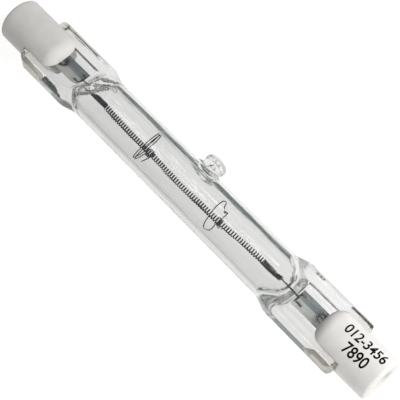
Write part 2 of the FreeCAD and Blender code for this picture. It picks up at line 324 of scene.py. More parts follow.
def outward(obj):
    mesh = bmesh.new()
    mesh.from_mesh(obj.data)
    bmesh.ops.recalc_face_normals(mesh, faces=mesh.faces)
    mesh.to_mesh(obj.data)
    mesh.free()
    return obj


def arc(middle, radius, start, end, steps):
    """Points of an arc about middle, with angles in degrees."""
    points = []
    for step in range(steps + 1):
        angle = math.radians(blend(start, end, step / steps))
        points.append((middle[0] + radius * math.cos(angle), middle[1] + radius * math.sin(angle)))
    return points


def evaluated_mesh(obj):
    """A new mesh of the object as its modifiers leave it."""
    return bpy.data.meshes.new_from_object(obj.evaluated_get(bpy.context.evaluated_depsgraph_get()))


def with_modifiers_applied(obj):
    mesh = evaluated_mesh(obj)
    obj.modifiers.clear()
    obj.data = mesh
    return obj


def combined(target, tool, operation):
    """target with tool joined to it or cut from it; the tool is used up."""
    modifier = target.modifiers.new("Combine", "BOOLEAN")
    modifier.operation = operation
    modifier.solver = "EXACT"
    modifier.object = tool
    target = with_modifiers_applied(target)
    bpy.data.objects.remove(tool)
    return target


def hand(side):
    """The side's name: the right end is the one at the greater X."""
    return "right" if side > 0 else "left"


def mirrored(obj):
    """The mesh of a right-hand piece turned into its left-hand one."""
    obj.data.transform(Matrix.Diagonal((-1, 1, 1, 1)))
    obj.data.flip_normals()
    return obj


def placed(obj, slot, replaced, sharp_angle=sharp_edge, shift=0.0):
    """Puts a piece drawn about the lamp's axis into the row frame, as a piece of the one body."""
    obj.data.transform(to_row @ Matrix.Translation((shift, 0, 0)))
    obj.data.shade_smooth()
    obj.data.set_sharp_from_angle(angle=math.radians(sharp_angle))
    obj.data.materials.clear()
    obj.data.materials.append(finishes[slot])
    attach(obj, "root")
    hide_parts(*replaced)


# Materials

def colour(hex_value):
    """An sRGB hex colour as linear RGBA."""
    channels = [int(hex_value[i:i + 2], 16) / 255 for i in (1, 3, 5)]
    linear = [c / 12.92 if c <= 0.04045 else ((c + 0.055) / 1.055) ** 2.4 for c in channels]
    return (*linear, 1.0)


def add_node(tree, kind, inputs=None, **settings):
    """A node with its settings; an input is a value, or an output of another node."""
    node = tree.nodes.new(kind)
    for name, value in settings.items():
        setattr(node, name, value)
    for name, value in (inputs or {}).items():
        if isinstance(value, bpy.types.NodeSocket):
            tree.links.new(value, node.inputs[name])
        else:
            node.inputs[name].default_value = value
    return node


def reckoned(tree, operation, *values):
    """What a maths node makes of the values; a value is a number, or an output of another node."""
    return add_node(tree, "ShaderNodeMath", dict(enumerate(values)), operation=operation).outputs[0]


def ranged(tree, value, between, low=0.0, high=1.0):
    """Where a value lies between two others, as a number from low to high."""
    return add_node(tree, "ShaderNodeMapRange", {
        "Value": value, "From Min": between[0], "From Max": between[1],
        "To Min": low, "To Max": high}).outputs[0]


def mixed(tree, share, first, second):
    """The first colour, turning to the second as the share grows."""
    return add_node(tree, "ShaderNodeMixRGB", {"Fac": share, "Color1": first, "Color2": second}).outputs[0]


def new_material(name, surface):
    material = bpy.data.materials.new(name)
    material.use_nodes = True
    tree = material.node_tree
    tree.nodes.clear()
    shader = add_node(tree, "ShaderNodeBsdfPrincipled", surface)
    output = add_node(tree, "ShaderNodeOutputMaterial", {"Surface": shader.outputs[0]})
    return material, tree, shader, output


def lamp_coordinates(tree, scale):
    """Object coordinates turned to the lamp's own axes, in millimetres, then scaled."""
    place = add_node(tree, "ShaderNodeTexCoord").outputs["Object"]
    axis = Vector((0, axis_place.y, axis_place.z)) / metres
    level = add_node(tree, "ShaderNodeMapping", {
        "Vector": place, "Location": -(Matrix.Rotation(roll, 3, "X") @ axis), "Rotation": (roll, 0, 0),
        "Scale": (1 / metres, 1 / metres, 1 / metres)})
    return add_node(tree, "ShaderNodeMapping", {"Vector": level.outputs[0], "Scale": scale}).outputs[0]


def stained(tree, place, scale, detail, stops):
    """A noise pattern read through a colour ramp of (place, colour) stops."""
    noise = add_node(tree, "ShaderNodeTexNoise", {"Vector": place, "Scale": scale, "Detail": detail})
    ramp = add_node(tree, "ShaderNodeValToRGB", {"Fac": noise.outputs["Fac"]})
    ramp.color_ramp.elements[0].position, ramp.color_ramp.elements[0].color = stops[0]
    ramp.color_ramp.elements[1].position, ramp.color_ramp.elements[1].color = stops[1]
    return ramp.outputs["Color"]


def bumped(tree, shader, place, scale, detail, height_mm):
    noise = add_node(tree, "ShaderNodeTexNoise", {"Vector": place, "Scale": scale, "Detail": detail})
    bump = add_node(tree, "ShaderNodeBump", {
        "Height": noise.outputs["Fac"], "Distance": height_mm * metres, "Strength": 1.0})
    tree.links.new(bump.outputs[0], shader.inputs["Normal"])


def fused_quartz():
    """Clear fused quartz, drawn as tube and flame-worked: faint waves along it, warm near the caps."""
    material, tree, shader, output = new_material("fused_quartz", {
        "Roughness": 0.0, "IOR": 1.458, "Transmission Weight": 1.0})
    along_tube = lamp_coordinates(tree, (0.12, 1.6, 1.6))
    tint = stained(tree, along_tube, 1.0, 3.0, [(0.35, colour("#F6F7F6")), (0.65, colour("#FDFDFD"))])
    place = add_node(tree, "ShaderNodeSeparateXYZ", {"Vector": lamp_coordinates(tree, (1, 1, 1))})
    # The glass's colour turns warmer towards the caps
    near_cap = ranged(tree, reckoned(tree, "ABSOLUTE", place.outputs["X"]), warmer_glass_from)
    tree.links.new(mixed(tree, near_cap, tint, colour("#F0EDE8")), shader.inputs["Base Color"])
    bumped(tree, shader, along_tube, 1.3, 2.0, 0.027)
    # A lamp's light passes the clear wall, so the glass casts only a faint shadow
    passing = add_node(tree, "ShaderNodeBsdfTransparent", {"Color": colour("#DDE2E0")})
    shadow = add_node(tree, "ShaderNodeLightPath").outputs["Is Shadow Ray"]
    mix = add_node(tree, "ShaderNodeMixShader", {0: shadow, 1: shader.outputs[0], 2: passing.outputs[0]})
    tree.links.new(mix.outputs[0], output.inputs["Surface"])
    return material


def steatite_ceramic():
    """Dense white steatite, pressed and fired unglazed: matt, with a fine grain."""
    material, tree, shader, _ = new_material("steatite_ceramic", {"Roughness": 0.55, "IOR": 1.56})
    place = lamp_coordinates(tree, (1, 1, 1))
    tint = stained(tree, place, 0.5, 4.0, [(0.3, colour("#E4E2DF")), (0.7, colour("#EDEBE9"))])
    tree.links.new(tint, shader.inputs["Base Color"])
    bumped(tree, shader, place, 6.0, 4.0, 0.01)
    return material


def lamp_cement():
    """Baked lamp cement: off-white, dry and grainy."""
    material, tree, shader, _ = new_material("lamp_cement", {"Roughness": 0.9})
    place = lamp_coordinates(tree, (1, 1, 1))
    tint = stained(tree, place, 2.0, 5.0, [(0.3, colour("#E2DED6")), (0.7, colour("#EFEBE5"))])
    tree.links.new(tint, shader.inputs["Base Color"])
    bumped(tree, shader, place, 5.0, 5.0, 0.05)
    return material


def tungsten():
    """Drawn tungsten wire, darkened by burning, with a dull sheen."""
    material, tree, shader, _ = new_material("tungsten", {"Metallic": 1.0, "Roughness": 0.45})
    place = lamp_coordinates(tree, (1, 1, 1))
    tint = stained(tree, place, 3.0, 2.0, [(0.3, colour("#080707")), (0.7, colour("#1B1816"))])
    tree.links.new(tint, shader.inputs["Base Color"])
    return material


def molybdenum_wire():
    """Drawn molybdenum wire, grey with dark heat marks."""
    material, tree, shader, _ = new_material("molybdenum_wire", {"Metallic": 1.0, "Roughness": 0.3})
    place = lamp_coordinates(tree, (1, 1, 1))
    tint = stained(tree, place, 2.5, 3.0, [(0.35, colour("#6A6765")), (0.7, colour("#A3A09D"))])
    tree.links.new(tint, shader.inputs["Base Color"])
    return material


def molybdenum_foil():
    """Rolled molybdenum foil with fine lines along it: painted light on one side of its fold, painted shade
    on the other.
    """
    material, tree, shader, _ = new_material("molybdenum_foil", {"Metallic": 0.25, "Roughness": 0.5})
    rolled = lamp_coordinates(tree, (0.15, 4.0, 1.0))
    # Painted light and shade: a lit copy of the foil's colour on one side of the fold, a shaded copy on the
    # other
    painted_lit_foil = stained(tree, rolled, 1.5, 3.0, [(0.3, colour("#CCCBCA")), (0.7, colour("#E3E2E0"))])
    painted_shaded_foil = stained(tree, rolled, 1.5, 3.0, [(0.3, colour("#868B90")), (0.7, colour("#A0A3A6"))])
    place = add_node(tree, "ShaderNodeSeparateXYZ", {"Vector": lamp_coordinates(tree, (1, 1, 1))})
    painted_shade_side = ranged(tree, place.outputs["Y"], (-painted_shade_blend_width / 2, painted_shade_blend_width / 2))
    tree.links.new(mixed(tree, painted_shade_side, painted_lit_foil, painted_shaded_foil), shader.inputs["Base Color"])
    bumped(tree, shader, rolled, 1.0, 3.0, 0.02)
    return material


def nickelled_contact():
    """Nickel-plated button: satin, slightly warm metal."""
    material, tree, shader, _ = new_material("nickelled_contact", {"Metallic": 1.0, "Roughness": 0.3})
    place = lamp_coordinates(tree, (1, 1, 1))
    tint = stained(tree, place, 1.5, 4.0, [(0.3, colour("#B9B4AB")), (0.7, colour("#D3CFC7"))])
    tree.links.new(tint, shader.inputs["Base Color"])
    return material


def stamping_ink():
    """Black ink stamped on the bare ceramic, a little thin on the grain."""
    material, tree, shader, _ = new_material("stamping_ink", {
        "Roughness": 0.8, "Specular IOR Level": 0.15})
    place = lamp_coordinates(tree, (1, 1, 1))
    tint = stained(tree, place, 9.0, 4.0, [(0.3, colour("#050404")), (0.75, colour("#1A1716"))])
    tree.links.new(tint, shader.inputs["Base Color"])
    return material


finishes = {
    "fused_quartz": fused_quartz(),
    "steatite_ceramic": steatite_ceramic(),
    "lamp_cement": lamp_cement(),
    "tungsten": tungsten(),
    "molybdenum_wire": molybdenum_wire(),
    "molybdenum_foil": molybdenum_foil(),
    "nickelled_contact": nickelled_contact(),
    "stamping_ink": stamping_ink(),
}


# Quartz envelope

def pinch_quarter(steps):
    """A quarter of the pinch's section, from the middle of its side to the middle of the web."""
    corner = (pinch_half_width - rail_rounding, rail_half_thickness - rail_rounding)
    rounding = arc(corner, rail_rounding, 0, 90, 10)
    outline = [(pinch_half_width, 0)] + rounding
    fall = 14
    for step in range(fall + 1):
        share = step / fall
        y = blend(rail_crest, web_edge, share)
        outline.append((y, blend(rail_half_thickness, web_half_thickness, ease(share))))
    outline.append((0, web_half_thickness))
    return resampled(outline, steps)


def resampled(outline, steps):
    """Points at equal distances along an outline."""
    lengths = [0.0]
    for a, b in zip(outline, outline[1:]):
        lengths.append(lengths[-1] + math.dist(a, b))
    points = []
    k = 0
    for step in range(steps + 1):
        target = lengths[-1] * step / steps
        while k < len(outline) - 2 and lengths[k + 1] < target:
            k += 1
        share = (target - lengths[k]) / (lengths[k + 1] - lengths[k])
        points.append(tuple(blend(a, b, share) for a, b in zip(outline[k], outline[k + 1])))
    return points


def rounded_off(from_end, radius):
    """How far a corner of the given radius has drawn back at a distance from the end."""
    if from_end >= radius:
        return 0.0
    return radius - math.sqrt(max(radius ** 2 - (radius - from_end) ** 2, 0))


def skin_ring(x, quarter, far_end):
    """The envelope's outline at x: round on the tube, pressed flat with two rails on the pinch."""
    steps = len(quarter) - 1
    reach = abs(x)
    from_end = far_end - reach
    inset = rounded_off(from_end, pinch_edge_rounding)
    limit = pinch_half_width - rounded_off(from_end, pinch_corner_radius)
    ring = []
    for k in range(4 * steps):
        angle = math.pi / 2 * k / steps
        across, up = math.cos(angle), math.sin(angle)
        corner = k % (2 * steps)
        y, z = quarter[min(corner, 2 * steps - corner)]
        lean = left_shoulder_lean * ease(-across) if x < 0 else 0.0
        widening = ease((reach - lean - flare_start) / (flare_end - flare_start))
        pressing = ease((reach - lean - tube_end) / (shoulder_end - tube_end))
        width = min(blend(tube_radius * abs(across), y, widening), limit)
        height = blend(tube_radius * abs(up), z, pressing) * (1 - inset / rail_half_thickness)
        if corner != steps:
            width = max(width - inset, 0.0)
        ring.append((x, math.copysign(width, across), math.copysign(height, up)))
    return ring


def skin_places(far_end):
    """Places of the rings along one half of the lamp: close together where the outline changes."""
    rounding_steps = 4
    fine_spacing = 0.2
    wide_spacing = 0.5
    last_from_middle = 0.6
    places = []
    for step in range(rounding_steps + 1):
        turn = math.pi / 2 * step / rounding_steps
        places.append(far_end - pinch_edge_rounding * (1 - math.cos(turn)))
    while places[-1] > last_from_middle:
        x = places[-1]
        fine = x > far_end - pinch_corner_radius or flare_start < x < shoulder_end + left_shoulder_lean
        places.append(x - (fine_spacing if fine else wide_spacing))
    return places


def quartz_envelope():
    """Tube, shoulders, pinches and tip in one piece of glass, hollow where the gas is."""
    quarter = pinch_quarter(24)
    left_end = pinch_end + tube_shift
    right_end = pinch_end - tube_shift
    rings = [skin_ring(-x, quarter, left_end) for x in skin_places(left_end)]
    rings += [skin_ring(x, quarter, right_end) for x in reversed(skin_places(right_end))]
    vertices = [v for ring in rings for v in ring]
    skin = outward(new_object("quartz_envelope", vertices, ring_faces(len(rings), len(rings[0]))))
    skin = combined(skin, exhaust_tip(), "UNION")
    skin = combined(skin, cavity(), "DIFFERENCE")
    return combined(skin, rail_channel(), "DIFFERENCE")


def rail_channel():
    """A flat channel of air that the pinching left in the left lower rail."""
    low, high = rail_channel_ends
    taper = rail_channel_taper
    bar = turned("channel", [(low, 0), (low + taper, 1), (high - taper, 1), (high, 0)], 32)
    flat = Matrix.Diagonal((1, rail_channel_half_width, rail_channel_half_thickness, 1))
    tilt = Matrix.Rotation(math.radians(rail_channel_tilt), 4, "X")
    bar.data.transform(Matrix.Translation((0, rail_channel_place, rail_channel_rise)) @ tilt @ flat)
    return bar


def exhaust_tip():
    """The melted stub of the pumping tube, round about Y, flowing out of the tube in a wide foot."""
    rim_centre = tip_radius - tip_rounding
    rim_height = tip_reach - tip_rounding
    under = math.acos((tip_neck_radius - rim_centre) / tip_rounding)
    neck_height = rim_height - tip_rounding * math.sin(under)
    segments = 72
    steps = 14
    rings = [[] for _ in range(steps + 2)]
    for k in range(segments):
        turn = 2 * math.pi * k / segments
        spread = (1 - math.cos(turn)) / 2
        length = blend(tip_foot_right, tip_foot_left, spread)
        foot = Vector((length * math.cos(turn), 0, tip_foot_width * math.sin(turn)))
        foot.y = math.sqrt(tube_radius ** 2 - foot.z ** 2) - tip_foot_sink
        neck = Vector((tip_neck_radius * math.cos(turn), neck_height, tip_neck_radius * math.sin(turn)))
        level = Vector((neck.x - foot.x, 0, neck.z - foot.z))
        slope = -foot.z / (foot.y + tip_foot_sink) * level.z
        start = Vector((level.x, slope, level.z)) * tip_foot_pull
        rise = Vector((0, neck.y - foot.y, 0)) * tip_neck_pull
        rings[0].append(foot - Vector((0, tip_foot_root, 0)))
        for step in range(steps + 1):
            t = step / steps
            point = (foot * (2 * t ** 3 - 3 * t ** 2 + 1) + start * (t ** 3 - 2 * t ** 2 + t)
                     + neck * (3 * t ** 2 - 2 * t ** 3) + rise * (t ** 3 - t ** 2))
            rings[step + 1].append(point)
    for radius, height in arc((rim_centre, rim_height), tip_rounding, -math.degrees(under), 90, 12)[1:]:
        rings.append(round_ring(radius, height, segments))
    rings_on_top = (0.7, 0.4, 0.15)
    for share in rings_on_top:
        rings.append(round_ring(rim_centre * share, tip_reach, segments))
    vertices = [(tip_offset + v[0], v[1], v[2]) for ring in rings for v in ring]
    return outward(new_object("tip", vertices, ring_faces(len(rings), segments)))


def round_ring(radius, height, segments):
    turns = [2 * math.pi * k / segments for k in range(segments)]
    return [(radius * math.cos(turn), height, radius * math.sin(turn)) for turn in turns]


def cavity():
    """The gas space, with its round ends, and the end of the pumping hole."""
    straight = cavity_end - bore_radius
    right = arc((straight, 0), bore_radius, 0, 90, 16)
    left = arc((-straight, 0), bore_radius, 90, 180, 16)
    rows = 60
    middle = [(blend(straight, -straight, step / rows), bore_radius) for step in range(1, rows)]
    space = turned("cavity", right + middle + left)
    for v in space.data.vertices:
        share = ease((-cavity_lean_start - v.co.x) / cavity_lean_run)
        v.co.x -= left_cavity_lean * ease(-v.co.y / bore_radius) * share
    root = bore_radius - tip_bore_root
    vertices = []
    segments = 48
    rings = [(root, tip_bore_radius), (tip_bore_reach, tip_bore_end_radius)]
    for height, radius in rings:
        for k in range(segments):
            angle = 2 * math.pi * k / segments
            vertices.append((tip_offset + radius * math.cos(angle), height, radius * math.sin(angle)))
    hole = outward(new_object("hole", vertices, ring_faces(2, segments)))
    return combined(space, hole, "UNION")


# Wires

def filament_offset(x):
    """Distance of the filament's centre from the lamp's axis, along Y."""
    for (x_start, y_start), (x_end, y_end) in zip(filament_line, filament_line[1:]):
        if x <= x_end:
            break
    share = min(max((x - x_start) / (x_end - x_start), 0.0), 1.0)
    return blend(y_start, y_end, (1 - math.cos(math.pi * share)) / 2)


def wire_nodes():
    """Node tree for a round wire along each curve, wound round it where a coil radius is given."""
    tree = bpy.data.node_groups.new("wound_wire", "GeometryNodeTree")
    inputs = {"Geometry": "Geometry", "Wire Radius": "Float", "Wire Sides": "Int", "Coil Radius": "Float",
              "Points per Turn": "Int", "Metal": "Material"}
    for name, kind in inputs.items():
        tree.interface.new_socket(name, in_out="INPUT", socket_type="NodeSocket" + kind)
    tree.interface.new_socket("Geometry", in_out="OUTPUT", socket_type="NodeSocketGeometry")
    given = add_node(tree, "NodeGroupInput").outputs
    index = add_node(tree, "GeometryNodeInputIndex")
    turn = reckoned(tree, "DIVIDE", index.outputs[0], given["Points per Turn"])
    angle = reckoned(tree, "MULTIPLY", turn, 2 * math.pi)
    y, z = (reckoned(tree, "MULTIPLY", reckoned(tree, kind, angle), given["Coil Radius"])
            for kind in ("COSINE", "SINE"))
    offset = add_node(tree, "ShaderNodeCombineXYZ", {"Y": y, "Z": z})
    wound = add_node(tree, "GeometryNodeSetPosition", {
        "Geometry": given["Geometry"], "Offset": offset.outputs[0]})
    section = add_node(tree, "GeometryNodeCurvePrimitiveCircle", {
        "Resolution": given["Wire Sides"], "Radius": given["Wire Radius"]})
    skin = add_node(tree, "GeometryNodeCurveToMesh", {
        "Curve": wound.outputs[0], "Profile Curve": section.outputs[0], "Fill Caps": True})
    solid = add_node(tree, "GeometryNodeRealizeInstances", {"Geometry": skin.outputs[0]})
    finished = add_node(tree, "GeometryNodeSetMaterial", {
        "Geometry": solid.outputs[0], "Material": given["Metal"]})
    add_node(tree, "NodeGroupOutput", {"Geometry": finished.outputs[0]})
    return tree


def wire(name, paths, radius, metal, sides=12, coil=0.0, points_per_turn=16):
    """Round wire through each path of points, as one mesh; wound round the path if coil is above 0."""
    curve = bpy.data.curves.new(name, "CURVE")
    curve.dimensions = "3D"
    for path in paths:
        spline = curve.splines.new("POLY")
        spline.points.add(len(path) - 1)
        for point, place in zip(spline.points, path):
            point.co = (*place, 1)
    obj = bpy.data.objects.new(name + "_curve", curve)
    bpy.context.scene.collection.objects.link(obj)
    modifier = obj.modifiers.new("Wire", "NODES")
    modifier.node_group = wound_wire
    values = {"Wire Radius": radius, "Wire Sides": sides, "Coil Radius": coil,
              "Points per Turn": points_per_turn, "Metal": finishes[metal]}
    for item in wound_wire.interface.items_tree:
        if item.item_type == "SOCKET" and item.in_out == "INPUT" and item.name in values:
            modifier[item.identifier] = values[item.name]
    mesh = evaluated_mesh(obj)
    obj.modifiers.remove(modifier)
    bpy.data.objects.remove(obj)
    piece = bpy.data.objects.new(name, mesh)
    bpy.context.scene.collection.objects.link(piece)
    return outward(piece)


wound_wire = wire_nodes()


def softened(points, radius, steps=5):
    """A path whose corners are rounded to about the given radius."""
    longest_cut = 0.45
    path = [Vector(points[0])]
    for before, corner, after in zip(points, points[1:], points[2:]):
        corner = Vector(corner)
        back = Vector(before) - corner
        ahead = Vector(after) - corner
        cut = min(radius, back.length * longest_cut, ahead.length * longest_cut)
        start = corner + back.normalized() * cut
        end = corner + ahead.normalized() * cut
        for step in range(steps + 1):
            share = step / steps
            path.append(start.lerp(corner, share).lerp(corner.lerp(end, share), share))
    path.append(Vector(points[-1]))
    return path


def wrap_points(x_start, start_angle, turns):
    """Tight turns of support wire round the coil."""
    segments = 20
    points = []
    for step in range(round(turns * segments) + 1):
        angle = start_angle + 2 * math.pi * step / segments
        x = x_start + support_wrap_pitch * step / segments
        points.append((x, filament_offset(x) + support_wrap_radius * math.cos(angle),
                       support_wrap_radius * math.sin(angle)))
    return points


def left_filament_support():
    wraps = wrap_points(left_support_place, math.pi, left_wrap_turns)
    wraps.reverse()
    hook = (wraps[0][0] - support_wrap_pitch, -left_hook_reach, wraps[0][2])
    loops = []
    segments = 40
    for step in range(left_loop_turns * segments + 1):
        angle = -math.pi / 2 - 2 * math.pi * step / segments
        x = left_support_place - left_loop_pitch * (1 + step / segments)
        y = support_loop_radius * math.cos(angle)
        z = support_loop_radius * math.sin(angle)
        loops.append((x + left_loop_lean * z, y, z))
    path = softened([hook] + wraps + loops, support_bend_radius)
    return wire("left_filament_support", [path], support_wire_radius, "tungsten")


def right_filament_support():
    wraps = wrap_points(right_support_place, 0, right_wrap_turns)
    wraps.reverse()
    hook = (wraps[0][0] + support_wrap_pitch, -right_hook_reach, wraps[0][2])
    bends = [(right_support_place + x, y * support_loop_radius, z * support_loop_radius)
             for x, y, z in right_loop_bends]
    path = softened([hook] + wraps + through(bends, 6), support_bend_radius)
    return wire("right_filament_support", [path], support_wire_radius, "tungsten")


def through(points, steps):
    """A smooth curve through the points."""
    padded = [points[0]] + list(points) + [points[-1]]
    path = []
    for a, b, c, d in zip(padded, padded[1:], padded[2:], padded[3:]):
        a, b, c, d = (Vector(p) for p in (a, b, c, d))
        for step in range(steps):
            t = step / steps
            path.append(0.5 * (2 * b + (c - a) * t + (2 * a - 5 * b + 4 * c - d) * t * t
                               + (3 * b - a - 3 * c + d) * t ** 3))
    path.append(Vector(points[-1]))
    return path


def filament():
    """Coiled strand: open turns between two close-wound ends."""
    segments = 16
    path = []
    x = coil_left_end
    open_start = coil_left_end + close_length
    open_end = coil_right_end - close_length
    while x < coil_right_end:
        path.append((x, filament_offset(x), 0))
        pitch = open_pitch if open_start <= x < open_end else close_pitch
        x += pitch / segments
    return wire("filament", [path], strand_radius, "tungsten", 8, coil_radius, segments)


def inner_lead(side):
    coil_end = coil_right_end if side > 0 else -coil_left_end
    grip = coil_end - inner_lead_grip
    bar = foil_start + staple_place
    line = [
        (grip, filament_offset(side * grip), 0),
        (coil_end, filament_offset(side * coil_end), 0),
        (foil_start - staple_place, 0, 0),
        (bar, 0, 0),
    ]
    staple = [
        (bar + staple_prongs[0], staple_half_width, 0),
        (bar, staple_half_width, 0),
        (bar, -staple_half_width, 0),
        (bar + staple_prongs[1], -staple_half_width, 0),
    ]
    name = hand(side) + "_inner_lead"
    paths = [softened(line, inner_lead_bend_radius), softened(staple, staple_bend_radius)]
    obj = wire(name, paths, inner_lead_radius, "molybdenum_wire")
    return obj if side > 0 else mirrored(obj)


def outer_lead(side):
    hook_end = foil_start + outer_hook_place
    height = foil_middle + outer_lead_radius
    points = []
    steps = 16
    for step in range(steps + 1):
        angle = -math.pi / 2 - math.pi * step / steps
        points.append((hook_end + outer_hook_radius * math.cos(angle),
                       outer_hook_radius * math.sin(angle), height))
    points.insert(0, (points[0][0] + outer_hook_run, points[0][1], height))
    points.append((hook_end + outer_hook_run, 0, height))
    points.append((foil_start + foil_length, 0, height))
    points.append((pinch_end - side * tube_shift, 0, 0))
    stem_end = lamp_end - contact_depth - contact_thickness - contact_stem_length
    points.append((stem_end - side * tube_shift, 0, 0))
    name = hand(side) + "_outer_lead"
    obj = wire(name, [softened(points, outer_lead_bend_radius)], outer_lead_radius, "molybdenum_wire")
    return obj if side > 0 else mirrored(obj)


def foil(side):
    """Sealing foil with feathered edges and a slight fold along its middle."""
    across, lengthwise = 16, 30
    top, bottom = [], []
    for i in range(lengthwise + 1):
        x = foil_start + foil_length * i / lengthwise
        for j in range(across + 1):
            share = 2 * j / across - 1
            y = foil_half_width * share
            ripple = sum(height * math.sin(along * x + over * share) for height, along, over in foil_ripples)
            z = foil_middle + foil_fold_rise * (abs(share) - 0.5) + ripple
            thickness = foil_thickness * (1 - foil_feathering * share ** 4)
            top.append((x, y, z + thickness / 2))
            bottom.append((x, y, z - thickness / 2))
    row = across + 1
    offset = len(top)
    faces = []
    for i in range(lengthwise):
        for j in range(across):
            a, b, c, d = i * row + j, (i + 1) * row + j, (i + 1) * row + j + 1, i * row + j + 1
            faces.append((a, b, c, d))
            faces.append((offset + d, offset + c, offset + b, offset + a))
    rim = [i * row for i in range(lengthwise + 1)]
    rim += [lengthwise * row + j for j in range(1, row)]
    rim += [i * row + across for i in range(lengthwise - 1, -1, -1)]
    rim += [j for j in range(across - 1, 0, -1)]
    for a, b in zip(rim, rim[1:] + rim[:1]):
        faces.append((b, a, offset + a, offset + b))
    name = hand(side) + "_foil"
    obj = outward(new_object(name, top + bottom, faces))
    return obj if side > 0 else mirrored(obj)


# Caps and contacts

def ceramic_cap(side):
    """Turned ceramic with a round nose, cut by the slot that leaves two cheeks."""
    start = lamp_end - cap_length
    nose = (start + cap_nose_radius, cap_radius - cap_nose_radius)
    edge = (lamp_end - cap_edge_rounding, cap_radius - cap_edge_rounding)
    mouth = recess_rounding
    profile = [(slot_bottom, 0.0), (start, 0.0), (start, cap_nose_flat)]
    profile += arc(nose, cap_nose_radius, 180, 90, 14)
    profile += [(blend(nose[0], edge[0], step / 12), cap_radius) for step in range(1, 12)]
    profile += arc(edge, cap_edge_rounding, 90, 0, 6)
    profile += arc((lamp_end - mouth, recess_radius + mouth), mouth, 0, -90, 4)
    face = lamp_end - contact_depth
    seat = contact_radius + contact_clearance
    channel = contact_stem_radius + contact_clearance
    floor = slot_bottom - cap_floor
    profile += [(face, recess_radius), (face, seat), (face - contact_thickness, seat)]
    profile += [(face - contact_thickness, channel), (floor, channel), (floor, 0.0)]
    name = hand(side) + "_ceramic_cap"
    cap = turned(name, profile, 128)
    # The cutting block reaches past the cap on its open sides
    ahead, aside = 1, 5
    slot = block("slot", (start - ahead, slot_bottom), (-aside, aside), (-slot_half_width, slot_half_width))
    cap = combined(cap, slot, "DIFFERENCE")
    bevel = cap.modifiers.new("Edges", "BEVEL")
    bevel.width = cap_slot_bevel
    bevel.segments = 3
    bevel.limit_method = "ANGLE"
    bevel.angle_limit = math.radians(40)
    bevel.use_clamp_overlap = True
    cap = with_modifiers_applied(cap)
    return cap if side > 0 else mirrored(cap)


def block(name, x_range, y_range, z_range):
    vertices = [(x, y, z) for x in x_range for y in y_range for z in z_range]
    faces = [(0, 1, 3, 2), (4, 6, 7, 5), (0, 4, 5, 1), (2, 3, 7, 6), (0, 2, 6, 4), (1, 5, 7, 3)]
    return outward(new_object(name, vertices, faces))


def contact(side):
    face = lamp_end - contact_depth
    back = face - contact_thickness
    edge = contact_edge_rounding
    profile = [(back - contact_stem_length, 0.0), (back - contact_stem_length, contact_stem_radius)]
    profile += [(back, contact_stem_radius), (back, contact_radius)]
    profile += arc((face - edge, contact_radius - edge), edge, 90, 0, 5)
    profile += [(face - depth, contact_radius * share) for share, depth in contact_dish]
    name = hand(side) + "_contact"
    obj = turned(name, profile, 64)
    return obj if side > 0 else mirrored(obj)


def print_on_cap():
    """Rows of plain numbers laid round the right cap's ceramic."""
    vertices = []
    faces = []
    for text, length, height, place, angle in print_rows:
        curve = bpy.data.curves.new("figures", "FONT")
        curve.body = text
        curve.align_x = "CENTER"
        curve.align_y = "CENTER"
        curve.offset = print_boldness
        holder = bpy.data.objects.new("figures", curve)
        bpy.context.scene.collection.objects.link(holder)
        mesh = bmesh.new()
        mesh.from_mesh(evaluated_mesh(holder))
        bpy.data.objects.remove(holder)
        xs = [v.co.x for v in mesh.verts]
        ys = [v.co.y for v in mesh.verts]
        middle = Vector(((min(xs) + max(xs)) / 2, (min(ys) + max(ys)) / 2, 0))
        stretch = (length / (max(xs) - min(xs)), height / (max(ys) - min(ys)))
        for v in mesh.verts:
            v.co = Vector(((v.co.x - middle.x) * stretch[0], (v.co.y - middle.y) * stretch[1], 0))
        # Cut into narrow strips, so that the figures bend round the cap
        strips = round(height / 2 / print_cut_spacing)
        for cut in range(-strips, strips + 1):
            bmesh.ops.bisect_plane(mesh, geom=mesh.verts[:] + mesh.edges[:] + mesh.faces[:],
                                   plane_co=(0, cut * print_cut_spacing, 0), plane_no=(0, 1, 0))
        start = len(vertices)
        mesh.verts.ensure_lookup_table()
        for v in mesh.verts:
            around = math.radians(angle) + (v.co.y + print_rise * v.co.x) / cap_radius
            lift = cap_radius + print_lift
            vertices.append((place + v.co.x, lift * math.sin(around), lift * math.cos(around)))
        for face in mesh.faces:
            faces.append([start + v.index for v in face.verts])
        mesh.free()
    return new_object("right_cap_print", vertices, faces)


# Putting the pieces on the frame

placed(quartz_envelope(), "fused_quartz", ["quartz_envelope"], sharp_edge_of_glass, tube_shift)
placed(filament(), "tungsten", ["filament"], sharp_edge_of_wire, tube_shift)
placed(left_filament_support(), "tungsten", ["left_filament_support"], sharp_edge_of_wire, tube_shift)
placed(right_filament_support(), "tungsten", ["right_filament_support"], sharp_edge_of_wire, tube_shift)
for side in (1, -1):
    placed(inner_lead(side), "molybdenum_wire", [hand(side) + "_inner_lead"], sharp_edge_of_wire, tube_shift)
    placed(outer_lead(side), "molybdenum_wire", [hand(side) + "_outer_lead"], sharp_edge_of_wire, tube_shift)
    placed(foil(side), "molybdenum_foil", [hand(side) + "_foil"], sharp_edge, tube_shift)
    placed(ceramic_cap(side), "steatite_ceramic", [hand(side) + "_ceramic_cap"])
    placed(contact(side), "nickelled_contact", [hand(side) + "_contact"])
    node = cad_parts[hand(side) + "_cement"]
    node.data.materials.clear()
    node.data.materials.append(finishes["lamp_cement"])

figures = print_on_cap()
figures.data.transform(to_row)
figures.data.materials.append(finishes["stamping_ink"])
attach(figures, "root")


# Stage: a white table, soft light and the camera above the lamp

